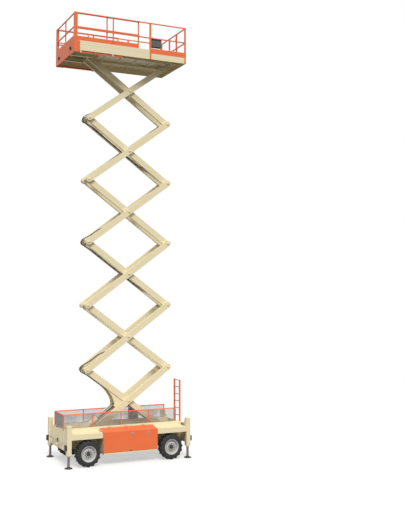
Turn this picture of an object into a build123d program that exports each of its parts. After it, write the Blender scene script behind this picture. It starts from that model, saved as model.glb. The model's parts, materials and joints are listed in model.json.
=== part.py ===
from build123d import *
from math import atan2, cos, hypot, radians, sin
import os

os.makedirs("parts", exist_ok=True)

# Self-propelled scissor lift with six scissor stages, shown raised on its jacks.
# X runs from the steered front (minus) to the ladder end (plus), Y to the machine's
# right, Z up from the ground. All sizes are in millimetres.

# Wheels and axles
wheelbase = 2920
wheel_track = 1980
tyre_diameter = 840
tyre_width = 310
rim_diameter = 454
rim_wall = 10
rim_disc_offset = 62
rim_disc = 14
rim_inset = 12
hub_radius = 72
hub_length = 120
hub_step = 30
hub_taper = 8
wall_rise = 60
bead_gap = 0.3
shoulder_height = 75
shoulder_width = 34
tyre_sides = 24
tread_sides = 48
tread_count = 16
tread_depth = 24
tread_length = 140
tread_thickness = 40
tread_slant = 25
tread_middle = 75
tread_edge = 26
tread_edge_drop = 36
tread_root = 90
tread_trim = 5
spindle_radius = 34
axle_width = 150
axle_above = 70
axle_below = 60
axle_gap = 8
kingpin_offset = 110
kingpin_radius = 24
knuckle_radius = 50
yoke_radius = 58
yoke_plate = 22
yoke_gap = 6
knuckle_height = 120
knuckle_play = 1

# Chassis rails and cross members
chassis_length = 4100
rail_inner = 240
rail_width = 160
rail_depth = 210
rail_wall = 12
cross_width = 100
cross_wall = 10
cross_places = (100, 850)
pivot_cross_half = 75
outrigger_place = 700
outrigger_raise = 30
outrigger_depth = 100
pan_thickness = 30
pan_reach = 110

# Scissor arms
arm_length = 3650
arm_depth = 200
arm_thickness = 80
arm_angle = 36
stages = 6
inner_lane = 150
outer_lane = 240
cross_tube_radius = 50
pin_radius = 30
pin_end = 335
pin_play = 0.5
roller_radius = 50
roller_inner = 326
roller_width = 50
stub_radius = 25
fixed_pivot_x = 1700
pivot_clearance = 30

# Roller tracks and pivot lugs
flange_inner = 327
cradle_inner = 388
cradle_plate = 12
flange_thickness = 10
roller_play = 1
track_front = -2050
track_rear = -1000
lug_radius = 75
lug_inner = 245
lug_thickness = 40
pin_past_lug = 5
top_lug_inner = 328

# Lift cylinder
foot_x = -1800
foot_height = 130
foot_lug_radius = 60
foot_lug_inner = 98
foot_lug_thickness = 24
foot_pin_radius = 35
foot_play = 6
barrel_radius = 88
barrel_start = 90
barrel_length = 1140
barrel_floor = 70
gland_length = 40
gland_radius = 100
rod_radius = 50
rod_play = 2
rod_tail = 974
eye_radius = 60
eye_width = 90
eye_gap = 5
eye_bore = 31
head_station = 2075
head_drop = 370
gusset_thickness = 20
gusset_reach = 950
gusset_bend = 300
gusset_back = 330
gusset_from_side = 30
gusset_lap = 10

# Side decks over the trays and wheels
deck_top = 1150
deck_depth = 110
deck_outer = 640
deck_wall = 8
fender_gap = 22
fender_top = 1040
fender_outer = 1090
fender_lip = 165
fender_plate = 8

# Equipment trays and their doors
tray_half_length = 943
tray_inner = 560
tray_outer = 1086
tray_bottom = 350
tray_plate = 8
door_half_length = 950
door_outer = 1112
door_bottom = 400
door_top = 1050
door_sheet = 6
door_gap = 8
hinge_y = 656
hinge_z = 1126
hinge_pin_radius = 7
hinge_tube_radius = 14
hinge_play = 0.6
hinge_length = 120
hinge_pitch = 600
leaf_gap = 6
leaf_lap = 4
engine_length = 1150
engine_depth = 420
engine_height = 560
tank_length = 900
tank_height = 480

# End frames and jacks
column_x = 2100
column_y = 1020
column_width = 150
column_wall = 8
column_bottom = 400
column_top = 1320
collar_radius = 62
collar_drop = 30
jack_radius = 40
jack_play = 1
jack_rod_top = 900
pad_radius = 125
pad_thickness = 22
pad_boss_radius = 62
pad_boss_height = 34
pad_boss_taper = 12
end_plate_bottom = 480
end_plate_top = 1100
end_plate_thickness = 12
end_plate_face = 2120
end_plate_lap = 4
crease_height = 740
crease_out = 30
wedge_foot = 650
overall_length = 4470
tie_y = 700
tie_z = 620
tie_thickness = 30
tie_bore = 25
tie_radius = 50
tow_width = 110
tow_thickness = 24
tow_bore = 22
tow_z = 600
valve_width = 110
valve_height = 170
valve_bottom = 560

# Guard fence round the folded arms
fence_y = 480
fence_front = -2114
fence_rear = 1900
fence_top = 1600
fence_bar = 30
fence_posts = 5
picket = 6
picket_pitch = 100
picket_bar = 12

# Ladder
ladder_front = 2165
ladder_stile_depth = 60
ladder_stile = 25
ladder_half_width = 225
ladder_bottom = 450
ladder_top = 2500
rung_radius = 15
rung_pitch = 240
rung_first = 560
ladder_bracket = 60

# Platform
platform_length = 4150
platform_width = 2100
rail_inset = 4
floor_above_pivot = 150
floor_plate = 10
fascia_depth = 210
fascia_plate = 12
joist_depth = 30
joist_width = 60
joists = 7
stringer_depth = 90
stringer_width = 60
rail_tube = 35
rail_height = 1100
mid_rail_height = 570
toe_height = 180
toe_plate = 4
guide_board = 130
corner_plate = 6
corner_plate_width = 60
main_rail_bays = 3
gate_half_width = 300
gate_gap = 6
gate_low = 60
gate_hinge_out = 16
gate_hinge_side = 8
gate_pin_radius = 7
gate_tube_radius = 12
gate_hinge_play = 0.6
gate_hinge_length = 45
gate_hinge_end = 5
gate_leaf = 8
gate_lug_height = 20
gate_hinge_heights = (260, 860)

# Extension deck
extension_length = 2360
extension_half_width = 1000
extension_plate = 6
extension_lift = 110
extension_gap = 5
extension_mid_raise = 60
skid_play = 0.4
skid_width = 40
skid_wall = 4
skid_inset = 60
extension_bays = 2
end_panel_plate = 8
corner_leg = 110
corner_foot = 200
runner_length = 1780
runner_width = 50
runner_depth = 55
runner_wall = 4
runner_inset = 30
guide_plate = 8
guide_width = 40
guide_places = (-1850, -700)
bumper_radius = 55
bumper_length = 35
bumper_y = 650
bumper_drop = 60

# Platform controls
console_width = 400
console_height = 280
console_depth = 170
console_slope = 70
console_gap = 10
console_hang = 20

# Places worked out from the sizes above
axle_x = wheelbase / 2
wheel_y = wheel_track / 2
axle_z = tyre_diameter / 2
rail_bottom = axle_z + axle_above
rail_top = rail_bottom + rail_depth
rail_outer = rail_inner + rail_width
pivot_z = rail_top + arm_depth / 2 + pivot_clearance
tilt = radians(arm_angle)
reach = arm_length * cos(tilt)
rise = arm_length * sin(tilt)
slider_x = fixed_pivot_x - reach
top_z = pivot_z + stages * rise
floor_top = top_z + floor_above_pivot
foot_z = rail_bottom + foot_height
head_x = fixed_pivot_x - head_station * cos(tilt) - head_drop * sin(tilt)
head_z = pivot_z + head_station * sin(tilt) - head_drop * cos(tilt)
cylinder_length = hypot(head_x - foot_x, head_z - foot_z)
cylinder_tilt = atan2(head_z - foot_z, head_x - foot_x)


def lane(side, inner, outer):
    """The range of Y between two distances from the middle, on one side."""
    return (inner, outer) if side > 0 else (-outer, -inner)


def block(x, y, z, mode=Mode.ADD):
    """A block between the low and high values of x, y and z."""
    with BuildSketch(Plane.XY.offset(z[0])) as outline:
        with Locations(((x[0] + x[1]) / 2, (y[0] + y[1]) / 2)):
            Rectangle(x[1] - x[0], y[1] - y[0])
    extrude(outline.sketch, amount=z[1] - z[0], mode=mode)


def across(points, y, mode=Mode.ADD):
    """A side outline in X and Z, carried across the machine."""
    with BuildSketch(Plane.XZ.offset(-y[1])) as outline:
        with BuildLine():
            Polyline(*points, close=True)
        make_face()
    extrude(outline.sketch, amount=y[1] - y[0], mode=mode)


def along(points, x, mode=Mode.ADD):
    """An end outline in Y and Z, carried along the machine."""
    with BuildSketch(Plane.YZ.offset(x[0])) as outline:
        with BuildLine():
            Polyline(*points, close=True)
        make_face()
    extrude(outline.sketch, amount=x[1] - x[0], mode=mode)


def shaft(x, z, radius, y, mode=Mode.ADD):
    """A round bar across the machine, or its bore."""
    with BuildSketch(Plane.XZ.offset(-y[1])) as outline:
        with Locations((x, z)):
            Circle(radius)
    extrude(outline.sketch, amount=y[1] - y[0], mode=mode)


def post(x, y, radius, z, mode=Mode.ADD):
    """An upright round bar, or its bore."""
    with BuildSketch(Plane.XY.offset(z[0])) as outline:
        with Locations((x, y)):
            Circle(radius)
    extrude(outline.sketch, amount=z[1] - z[0], mode=mode)


def tube_along(x, y, z, wall, mode=Mode.ADD):
    """A square tube along the machine, open at its ends."""
    with BuildSketch(Plane.YZ.offset(x[0])) as outline:
        with Locations(((y[0] + y[1]) / 2, (z[0] + z[1]) / 2)):
            Rectangle(y[1] - y[0], z[1] - z[0])
            Rectangle(y[1] - y[0] - 2 * wall, z[1] - z[0] - 2 * wall, mode=Mode.SUBTRACT)
    extrude(outline.sketch, amount=x[1] - x[0], mode=mode)


def tube_across(x, y, z, wall, mode=Mode.ADD):
    """A square tube across the machine, open at its ends."""
    with BuildSketch(Plane.XZ.offset(-y[1])) as outline:
        with Locations(((x[0] + x[1]) / 2, (z[0] + z[1]) / 2)):
            Rectangle(x[1] - x[0], z[1] - z[0])
            Rectangle(x[1] - x[0] - 2 * wall, z[1] - z[0] - 2 * wall, mode=Mode.SUBTRACT)
    extrude(outline.sketch, amount=y[1] - y[0], mode=mode)


# Chassis frame: two box rails joined by cross members, with the foot lugs of the lift
# cylinder, a pan under them, and outriggers that carry the trays
rail_half = chassis_length / 2
outrigger_low = rail_bottom + outrigger_raise
with BuildPart() as chassis_frame:
    for side in (-1, 1):
        tube_along((-rail_half, rail_half), lane(side, rail_inner, rail_outer),
                   (rail_bottom, rail_top), rail_wall)
        for end in (-1, 1):
            middle = end * outrigger_place
            tube_across((middle - cross_width / 2, middle + cross_width / 2),
                        lane(side, rail_outer, tray_inner),
                        (outrigger_low, outrigger_low + outrigger_depth), cross_wall)
        block((foot_x - foot_lug_radius, foot_x + foot_lug_radius),
              lane(side, foot_lug_inner, foot_lug_inner + foot_lug_thickness),
              (rail_bottom + pan_thickness, foot_z))
        shaft(foot_x, foot_z, foot_lug_radius,
              lane(side, foot_lug_inner, foot_lug_inner + foot_lug_thickness))
    for middle in cross_places:
        tube_across((middle - cross_width / 2, middle + cross_width / 2),
                    (-rail_inner, rail_inner), (rail_bottom, rail_top), cross_wall)
    tube_across((fixed_pivot_x - pivot_cross_half, fixed_pivot_x + pivot_cross_half),
                (-rail_inner, rail_inner), (rail_bottom, rail_top), cross_wall)
    block((foot_x - pan_reach, foot_x + pan_reach), (-rail_inner, rail_inner),
          (rail_bottom, rail_bottom + pan_thickness))
    foot_span = foot_lug_inner + foot_lug_thickness
    shaft(foot_x, foot_z, foot_pin_radius, (-foot_span, foot_span))
chassis_frame.part.label = "chassis_frame"
export_step(chassis_frame.part, "parts/chassis_frame.step")

# Scissor cradle: the upright side plates on the rails, and the lugs of the fixed lower
# pivot
cradle_outer = cradle_inner + cradle_plate
deck_bottom = deck_top - deck_depth
with BuildPart() as scissor_cradle:
    for side in (-1, 1):
        block((-rail_half, rail_half), lane(side, cradle_inner, cradle_outer),
              (rail_top, deck_bottom))
        lug = lane(side, lug_inner, lug_inner + lug_thickness)
        block((fixed_pivot_x - lug_radius, fixed_pivot_x + lug_radius), lug,
              (rail_top, pivot_z))
        shaft(fixed_pivot_x, pivot_z, lug_radius, lug)
        shaft(fixed_pivot_x, pivot_z, pin_radius + pin_play, lug, Mode.SUBTRACT)
scissor_cradle.part.label = "scissor_cradle"
export_step(scissor_cradle.part, "parts/scissor_cradle.step")

# Roller tracks: two flanges on each side plate, between which the lower rollers run
channel_half = roller_radius + roller_play
with BuildPart() as roller_tracks:
    for side in (-1, 1):
        for level in (-1, 1):
            flange = sorted((pivot_z + level * channel_half,
                             pivot_z + level * (channel_half + flange_thickness)))
            block((track_front, track_rear), lane(side, flange_inner, cradle_inner), flange)
roller_tracks.part.label = "roller_tracks"
export_step(roller_tracks.part, "parts/roller_tracks.step")

# Side decks: a box beam above the rails on each side, with a fender over each wheel and
# the hinge pins of the tray doors
deck_half = column_x - column_width / 2
fender_start = tray_half_length + fender_gap
hinge_places = (-hinge_pitch, 0, hinge_pitch)
lug_places = [hinge_pitch * (i - 1.5) for i in range(4)]
with BuildPart() as side_decks:
    for side in (-1, 1):
        tube_along((-deck_half, deck_half), lane(side, cradle_inner, deck_outer),
                   (deck_bottom, deck_top), deck_wall)
        for end in (-1, 1):
            ends = sorted((end * fender_start, end * deck_half))
            block(ends, lane(side, deck_outer, fender_outer),
                  (fender_top - fender_plate, fender_top))
            block(ends, lane(side, fender_outer - fender_plate, fender_outer),
                  (fender_top - fender_lip, fender_top - fender_plate))
        half = hinge_length / 4
        for place in lug_places:
            block((place - half, place + half), lane(side, deck_outer, hinge_y),
                  (hinge_z - hinge_tube_radius, hinge_z + hinge_tube_radius))
        with BuildSketch(Plane.YZ.offset(lug_places[0] - half)) as pin_end_face:
            with Locations((side * hinge_y, hinge_z)):
                Circle(hinge_pin_radius)
        extrude(pin_end_face.sketch, amount=lug_places[-1] - lug_places[0] + 2 * half)
side_decks.part.label = "side_decks"
export_step(side_decks.part, "parts/side_decks.step")


# Equipment trays: an open box on each side between the wheels, with a sill under the door
def tray_roof(y):
    """Height of the underside of the door's lid at a distance y from the middle."""
    slope = (hinge_z - door_top) / (door_outer - hinge_y)
    return hinge_z - slope * (y - hinge_y) - door_sheet - door_gap


with BuildPart() as equipment_trays:
    for side in (-1, 1):
        block((-tray_half_length, tray_half_length), lane(side, tray_inner, tray_outer),
              (tray_bottom, tray_bottom + tray_plate))
        block((-tray_half_length, tray_half_length),
              lane(side, tray_inner, tray_inner + tray_plate),
              (tray_bottom + tray_plate, deck_bottom))
        profile = [(side * tray_inner, tray_bottom), (side * tray_outer, tray_bottom),
                   (side * tray_outer, tray_roof(tray_outer)),
                   (side * (deck_outer + door_gap), tray_roof(deck_outer + door_gap)),
                   (side * (deck_outer + door_gap), deck_bottom), (side * tray_inner, deck_bottom)]
        for end in (-1, 1):
            along(profile, sorted((end * tray_half_length, end * (tray_half_length - tray_plate))))
        block((-tray_half_length, tray_half_length), lane(side, tray_outer, door_outer),
              (tray_bottom, door_bottom - door_gap))
equipment_trays.part.label = "equipment_trays"
export_step(equipment_trays.part, "parts/equipment_trays.step")

# Engine in the left tray and hydraulic tank in the right one, each a plain block
tray_floor = tray_bottom + tray_plate
tray_middle = (tray_inner + tray_plate + tray_outer) / 2
with BuildPart() as engine_block:
    block((-engine_length / 2, engine_length / 2),
          lane(-1, tray_middle - engine_depth / 2, tray_middle + engine_depth / 2),
          (tray_floor, tray_floor + engine_height))
engine_block.part.label = "engine_block"
export_step(engine_block.part, "parts/engine_block.step")

with BuildPart() as hydraulic_tank:
    block((-tank_length / 2, tank_length / 2),
          lane(1, tray_middle - engine_depth / 2, tray_middle + engine_depth / 2),
          (tray_floor, tray_floor + tank_height))
hydraulic_tank.part.label = "hydraulic_tank"
export_step(hydraulic_tank.part, "parts/hydraulic_tank.step")

# Tray doors: an upright face and a sloping lid in one sheet, hung along the deck
for name, side in (("door_left", -1), ("door_right", 1)):
    with BuildPart() as door:
        lid_start = hinge_y + hinge_tube_radius + leaf_gap
        slope = (hinge_z - door_top) / (door_outer - hinge_y)
        lid_z = hinge_z - slope * (lid_start - hinge_y)
        sheet = [(side * lid_start, lid_z), (side * door_outer, door_top),
                 (side * door_outer, door_bottom), (side * (door_outer - door_sheet), door_bottom),
                 (side * (door_outer - door_sheet), door_top - door_sheet),
                 (side * lid_start, lid_z - door_sheet)]
        along(sheet, (-door_half_length, door_half_length))
        for place in hinge_places:
            half = hinge_length / 2
            knuckle = (place - half, place + half)
            leaf = [(side * hinge_y, hinge_z), (side * (lid_start + leaf_lap), lid_z),
                    (side * (lid_start + leaf_lap), lid_z - door_sheet),
                    (side * hinge_y, hinge_z - door_sheet)]
            along(leaf, knuckle)
            with BuildSketch(Plane.YZ.offset(knuckle[0])) as tube_face:
                with Locations((side * hinge_y, hinge_z)):
                    Circle(hinge_tube_radius)
            extrude(tube_face.sketch, amount=hinge_length)
            with BuildSketch(Plane.YZ.offset(knuckle[0])) as bore_face:
                with Locations((side * hinge_y, hinge_z)):
                    Circle(hinge_pin_radius + hinge_play)
            extrude(bore_face.sketch, amount=hinge_length, mode=Mode.SUBTRACT)
    door.part.label = name
    export_step(door.part, f"parts/{name}.step")


# End frames: two hollow jack columns joined by a creased plate, with wedges, tie-down
# lugs, ribs that meet the rails, and a tow eye at the front
for name, end in (("front_end_frame", -1), ("rear_end_frame", 1)):
    with BuildPart() as end_frame:
        crease_face = end_plate_face + crease_out
        inner_face = end_plate_face - end_plate_thickness
        plate = [(end * end_plate_face, end_plate_bottom), (end * crease_face, crease_height),
                 (end * end_plate_face, end_plate_top), (end * inner_face, end_plate_top),
                 (end * (crease_face - end_plate_thickness), crease_height),
                 (end * inner_face, end_plate_bottom)]
        column_inner = column_y - column_width / 2
        across(plate, (-column_inner, column_inner))
        for side in (-1, 1):
            middle = (end * column_x, side * column_y)
            with BuildSketch(Plane.XY.offset(column_bottom)) as column_base:
                with Locations(middle):
                    Rectangle(column_width, column_width)
            extrude(column_base.sketch, amount=column_top - column_bottom)
            hollow = column_width - 2 * column_wall
            with BuildSketch(Plane.XY.offset(column_bottom + column_wall)) as column_hollow:
                with Locations(middle):
                    Rectangle(hollow, hollow)
            extrude(column_hollow.sketch, amount=column_top - column_bottom - 2 * column_wall,
                    mode=Mode.SUBTRACT)
            post(*middle, collar_radius, (column_bottom - collar_drop, column_bottom))
            post(*middle, jack_radius + jack_play,
                 (column_bottom - collar_drop, column_bottom + column_wall), Mode.SUBTRACT)
            wedge = [(side * column_inner, end_plate_top), (side * wedge_foot, end_plate_top),
                     (side * column_inner, column_top)]
            along(wedge, sorted((end * inner_face, end * end_plate_face)))
            lug = (side * tie_y - tie_thickness / 2, side * tie_y + tie_thickness / 2)
            tie_x = end * (overall_length / 2 - tie_radius)
            root = end * (inner_face + 2 * end_plate_lap)
            across([(root, tie_z - tie_radius), (tie_x, tie_z - tie_radius),
                    (tie_x, tie_z + tie_radius), (root, tie_z + tie_radius)], lug)
            shaft(tie_x, tie_z, tie_radius, lug)
            shaft(tie_x, tie_z, tie_bore, lug, Mode.SUBTRACT)
            rib_end = end * (inner_face + end_plate_lap)
            rib = [(end * rail_half, rail_bottom), (rib_end, rail_bottom),
                   (rib_end, rail_top), (end * rail_half, rail_top)]
            across(rib, lane(side, rail_inner + rail_wall, rail_inner + 2 * rail_wall))
            across(rib, lane(side, rail_outer - 2 * rail_wall, rail_outer - rail_wall))
        if end < 0:
            tow_x = end * (overall_length / 2 - tow_width / 2)
            eye = (tow_z, tow_z + tow_thickness)
            block((tow_x, root), (-tow_width / 2, tow_width / 2), eye)
            post(tow_x, 0, tow_width / 2, eye)
            post(tow_x, 0, tow_bore, eye, Mode.SUBTRACT)
    end_frame.part.label = name
    export_step(end_frame.part, f"parts/{name}.step")

# Jack valve blocks on the outer ends of the columns
with BuildPart() as jack_valves:
    for end in (-1, 1):
        for side in (-1, 1):
            face = column_x + column_width / 2
            block(sorted((end * face, end * overall_length / 2)),
                  (side * column_y - valve_width / 2, side * column_y + valve_width / 2),
                  (valve_bottom, valve_bottom + valve_height))
jack_valves.part.label = "jack_valves"
export_step(jack_valves.part, "parts/jack_valves.step")

# Jacks: a round leg that slides in each column, with its foot pad
for name, end, side in (("jack_front_left", -1, -1), ("jack_front_right", -1, 1),
                        ("jack_rear_left", 1, -1), ("jack_rear_right", 1, 1)):
    with BuildPart() as jack:
        middle = (end * column_x, side * column_y)
        post(*middle, jack_radius, (pad_thickness, jack_rod_top))
        post(*middle, pad_radius, (0, pad_thickness))
        with BuildSketch(Plane.XY.offset(pad_thickness)) as boss:
            with Locations(middle):
                Circle(pad_boss_radius)
        extrude(boss.sketch, amount=pad_boss_height, taper=pad_boss_taper)
    jack.part.label = name
    export_step(jack.part, f"parts/{name}.step")

# Guard frame: orange posts and a top rail round the folded arms, open at the ladder end
fence_half = fence_bar / 2
fence_level = (fence_top - fence_bar, fence_top)
post_places = [fence_rear + (fence_front - fence_rear) * i / (fence_posts - 1)
               for i in range(fence_posts)]
with BuildPart() as guard_frame:
    for side in (-1, 1):
        strip = (side * fence_y - fence_half, side * fence_y + fence_half)
        block((fence_front - fence_half, fence_rear + fence_half), strip, fence_level)
        for place in post_places[:-1]:
            block((place - fence_half, place + fence_half), strip, (deck_top, fence_top))
        block((fence_front - fence_half, fence_front + fence_half), strip,
              (end_plate_top, fence_top))
    block((fence_front - fence_half, fence_front + fence_half), (-fence_y, fence_y), fence_level)
guard_frame.part.label = "guard_frame"
export_step(guard_frame.part, "parts/guard_frame.step")

# Guard mesh: the wire infill of each panel, as upright wires on a foot bar and a cross wire
wires = (deck_top + picket_bar, fence_top - fence_bar)
wire_middle = ((wires[0] + wires[1] - picket) / 2, (wires[0] + wires[1] + picket) / 2)
foot_bar = (deck_top, deck_top + picket_bar)
with BuildPart() as guard_mesh:
    for side in (-1, 1):
        for first, last in zip(post_places[1:], post_places[:-1]):
            low = first + fence_half
            high = last - fence_half
            count = int((high - low) // picket_pitch)
            for i in range(1, count + 1):
                place = low + (high - low) * i / (count + 1)
                block((place - picket / 2, place + picket / 2),
                      (side * fence_y - picket / 2, side * fence_y + picket / 2), wires)
            block((low, high), (side * fence_y - picket / 2, side * fence_y + picket / 2),
                  wire_middle)
            block((low, high),
                  (side * fence_y - picket_bar / 2, side * fence_y + picket_bar / 2), foot_bar)
    span = fence_y - fence_half
    count = int(2 * span // picket_pitch)
    for i in range(1, count + 1):
        place = -span + 2 * span * i / (count + 1)
        block((fence_front - picket / 2, fence_front + picket / 2),
              (place - picket / 2, place + picket / 2), wires)
    block((fence_front - picket / 2, fence_front + picket / 2), (-span, span), wire_middle)
    block((fence_front - picket_bar / 2, fence_front + picket_bar / 2), (-span, span), foot_bar)
guard_mesh.part.label = "guard_mesh"
export_step(guard_mesh.part, "parts/guard_mesh.step")

# Ladder on the rear end plate: two stiles with their brackets, and round rungs
with BuildPart() as ladder:
    for side in (-1, 1):
        stile = lane(side, ladder_half_width - ladder_stile, ladder_half_width)
        block((ladder_front, ladder_front + ladder_stile_depth), stile, (ladder_bottom, ladder_top))
        block((end_plate_face + crease_out, ladder_front), stile,
              (crease_height - ladder_bracket / 2, crease_height + ladder_bracket / 2))
ladder.part.label = "ladder"
export_step(ladder.part, "parts/ladder.step")

rungs = int((ladder_top - rung_first - rung_radius) // rung_pitch) + 1
with BuildPart() as ladder_rungs:
    for i in range(rungs):
        shaft(ladder_front + ladder_stile_depth / 2, rung_first + i * rung_pitch, rung_radius,
              (ladder_stile - ladder_half_width, ladder_half_width - ladder_stile))
ladder_rungs.part.label = "ladder_rungs"
export_step(ladder_rungs.part, "parts/ladder_rungs.step")

# Front axle: a beam with a yoke at each end for the kingpins
kingpin_y = wheel_y - kingpin_offset
yoke_inner_half = knuckle_height / 2 + knuckle_play
yoke_half = yoke_inner_half + yoke_plate
yoke_back = kingpin_y - yoke_radius - yoke_gap
with BuildPart() as front_axle:
    block((-axle_x - axle_width / 2, -axle_x + axle_width / 2), (-yoke_back, yoke_back),
          (axle_z - axle_below, axle_z + axle_above))
    for side in (-1, 1):
        block((-axle_x - yoke_radius, -axle_x + yoke_radius),
              lane(side, yoke_back - yoke_plate, yoke_back), (axle_z - yoke_half, axle_z + yoke_half))
        for level in (-1, 1):
            plate = sorted((axle_z + level * yoke_inner_half, axle_z + level * yoke_half))
            block((-axle_x - yoke_radius, -axle_x + yoke_radius),
                  lane(side, yoke_back, kingpin_y), plate)
            post(-axle_x, side * kingpin_y, yoke_radius, plate)
            post(-axle_x, side * kingpin_y, kingpin_radius + knuckle_play, plate, Mode.SUBTRACT)
front_axle.part.label = "front_axle"
export_step(front_axle.part, "parts/front_axle.step")

# Knuckles: a boss on an upright kingpin, with the wheel's spindle
spindle_end = wheel_y + rim_disc_offset + hub_length / 2
for name, side in (("knuckle_left", -1), ("knuckle_right", 1)):
    with BuildPart() as knuckle:
        post(-axle_x, side * kingpin_y, knuckle_radius,
             (axle_z - knuckle_height / 2, axle_z + knuckle_height / 2))
        post(-axle_x, side * kingpin_y, kingpin_radius, (axle_z - yoke_half, axle_z + yoke_half))
        shaft(-axle_x, axle_z, spindle_radius, lane(side, kingpin_y, spindle_end))
    knuckle.part.label = name
    export_step(knuckle.part, f"parts/{name}.step")

# Rear axle: a straight beam with a spindle at each end
rear_beam_half = wheel_y + rim_disc_offset - hub_length / 2 - hub_step - axle_gap
with BuildPart() as rear_axle:
    beam_end = kingpin_y - yoke_radius
    block((axle_x - axle_width / 2, axle_x + axle_width / 2), (-beam_end, beam_end),
          (axle_z - axle_below, axle_z + axle_above))
    for side in (-1, 1):
        shaft(axle_x, axle_z, yoke_radius, lane(side, beam_end, rear_beam_half))
        shaft(axle_x, axle_z, spindle_radius, lane(side, rear_beam_half, spindle_end))
rear_axle.part.label = "rear_axle"
export_step(rear_axle.part, "parts/rear_axle.step")

# Wheels: a steel rim with its hub, and the tyre on it, flat sided and with two staggered
# rows of slanting tread lugs
rim_radius = rim_diameter / 2
tyre_radius = tyre_diameter / 2


def section(centre, distance):
    """An upright plane across the axle, at a distance from the wheel's middle."""
    return Plane(origin=(centre[0], centre[1] + distance, centre[2]), x_dir=(1, 0, 0),
                 z_dir=(0, 1, 0))


def tread_plane(centre, turn, face):
    """The plane that stands along one lug: X runs out along it, Y away from the axle."""
    away = Vector(cos(turn), 0, sin(turn))
    around = Vector(-sin(turn), 0, cos(turn))
    slant = radians(tread_slant)
    run = Vector(0, face, 0) * cos(slant) + around * sin(slant)
    middle = Vector(centre[0], centre[1] + face * tread_middle, centre[2])
    return Plane(origin=middle, x_dir=run, z_dir=run.cross(away))


for name, end, side in (("front_left", -1, -1), ("front_right", -1, 1),
                        ("rear_left", 1, -1), ("rear_right", 1, 1)):
    wheel_plane = Plane(origin=(end * axle_x, side * wheel_y, axle_z), x_dir=(0, side, 0),
                        z_dir=(end, 0, 0))
    turning_axis = Axis((end * axle_x, side * wheel_y, axle_z), (0, 1, 0))
    with BuildPart() as rim:
        with BuildSketch(wheel_plane):
            with BuildLine():
                half = tyre_width / 2 - rim_inset
                disc = rim_disc_offset
                hub_out = disc + hub_length / 2
                hub_in = disc - hub_length / 2 - hub_step
                bore = spindle_radius + knuckle_play
                well = rim_radius - rim_wall
                Polyline((-half, rim_radius), (half, rim_radius), (half, well),
                         (disc + rim_disc, well), (disc + rim_disc, hub_radius),
                         (hub_out, hub_radius - hub_taper), (hub_out, bore), (hub_in, bore),
                         (hub_in, hub_radius - hub_taper),
                         (disc, hub_radius), (disc, well), (-half, well), close=True)
            make_face()
        revolve(axis=turning_axis)
    rim.part.label = f"rim_{name}"
    export_step(rim.part, f"parts/rim_{name}.step")
    centre = (end * axle_x, side * wheel_y, axle_z)
    with BuildPart() as tyre:
        wide = tyre_width / 2
        shoulder = tyre_radius - shoulder_height
        crown = tyre_radius - tread_depth
        for distance, radius in ((-wide, shoulder), (shoulder_width - wide, crown),
                                 (wide - shoulder_width, crown), (wide, shoulder)):
            with BuildSketch(section(centre, distance)):
                RegularPolygon(radius, tyre_sides)
        loft(ruled=True)
        with BuildSketch(section(centre, -wide)):
            RegularPolygon(rim_radius + bead_gap, tyre_sides, major_radius=False)
        extrude(amount=tyre_width, mode=Mode.SUBTRACT)
        for face in (-1, 1):
            with BuildSketch(section(centre, face * wide)):
                RegularPolygon(rim_radius + wall_rise, tyre_sides, major_radius=False)
            with BuildSketch(section(centre, face * (wide - rim_inset))):
                RegularPolygon(rim_radius + bead_gap, tyre_sides, major_radius=False)
            loft(ruled=True, mode=Mode.SUBTRACT)
        for face in (-1, 1):
            turns = [radians(360 * (i + 0.5 * (face > 0)) / tread_count - 90)
                     for i in range(tread_count)]
            with BuildSketch(*[tread_plane(centre, turn, face) for turn in turns]):
                with BuildLine():
                    half = tread_length / 2
                    root = tyre_radius - tread_root
                    high = tyre_radius + tread_trim
                    Polyline((-half, root), (-half, high), (half - tread_edge, high),
                             (half, tyre_radius - tread_edge_drop), (half, root), close=True)
                make_face()
            extrude(amount=tread_thickness / 2, both=True)
        with BuildSketch(section(centre, -wide)):
            RegularPolygon(tyre_radius, tread_sides)
        extrude(amount=tyre_width, mode=Mode.INTERSECT)
    tyre.part.label = f"tyre_{name}"
    export_step(tyre.part, f"parts/tyre_{name}.step")

# Lift cylinder: the barrel turns on the foot lugs
cylinder_dir = (cos(cylinder_tilt), 0, sin(cylinder_tilt))


def cylinder_plane(distance):
    """The plane square to the lift cylinder, at a distance from its foot pin."""
    return Plane(origin=(foot_x + distance * cylinder_dir[0], 0, foot_z + distance * cylinder_dir[2]),
                 x_dir=(0, 1, 0), z_dir=cylinder_dir)


barrel_end = barrel_start + barrel_length
with BuildPart() as lift_barrel:
    with BuildSketch(cylinder_plane(barrel_start)) as barrel_face:
        Circle(barrel_radius)
    extrude(barrel_face.sketch, amount=barrel_length)
    with BuildSketch(cylinder_plane(barrel_end - gland_length)) as gland_face:
        Circle(gland_radius)
    extrude(gland_face.sketch, amount=gland_length)
    with BuildSketch(cylinder_plane(barrel_start + barrel_floor)) as bore_circle:
        Circle(rod_radius + rod_play)
    extrude(bore_circle.sketch, amount=barrel_length, mode=Mode.SUBTRACT)
    foot_half = foot_lug_inner - foot_play
    with BuildSketch(cylinder_plane(0)) as neck:
        Rectangle(2 * foot_half, 2 * eye_radius)
    extrude(neck.sketch, amount=barrel_start)
    shaft(foot_x, foot_z, eye_radius, (-foot_half, foot_half))
    shaft(foot_x, foot_z, foot_pin_radius + pin_play, (-foot_half, foot_half), Mode.SUBTRACT)
lift_barrel.part.label = "lift_barrel"
export_step(lift_barrel.part, "parts/lift_barrel.step")

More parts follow.
